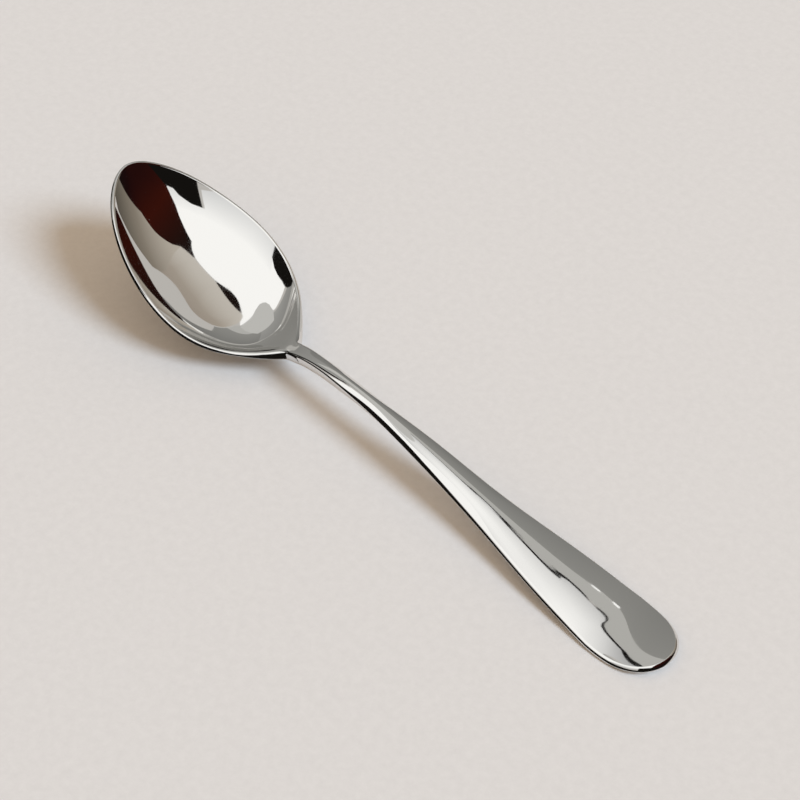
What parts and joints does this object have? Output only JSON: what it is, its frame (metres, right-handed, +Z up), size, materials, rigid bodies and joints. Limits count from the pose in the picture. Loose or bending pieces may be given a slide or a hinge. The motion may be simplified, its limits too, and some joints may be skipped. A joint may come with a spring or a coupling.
{
  "type": "serving spoon",
  "caption": "Polished steel serving spoon with a pointed oval bowl pitched up towards its tip, a slim neck and an arched handle that widens to a rounded end.",
  "frame": {"origin": "bottom centre of the bounding box: on the table, on the mirror plane, halfway along the spoon's length", "axes": "+X from the bowl's tip to the handle's end, +Y across the spoon, +Z up from the table"},
  "size_m": [0.2051, 0.0424, 0.0305],
  "materials": {
    "bowl_steel": "mirror-polished stainless steel, no plating, with faint fine scratches",
    "handle_steel": "mirror-polished stainless steel, no plating, with faint fine scratches"
  },
  "bodies": {
    "root": {"bowl": "bowl_steel", "handle": "handle_steel"}
  },
  "joints": []
}
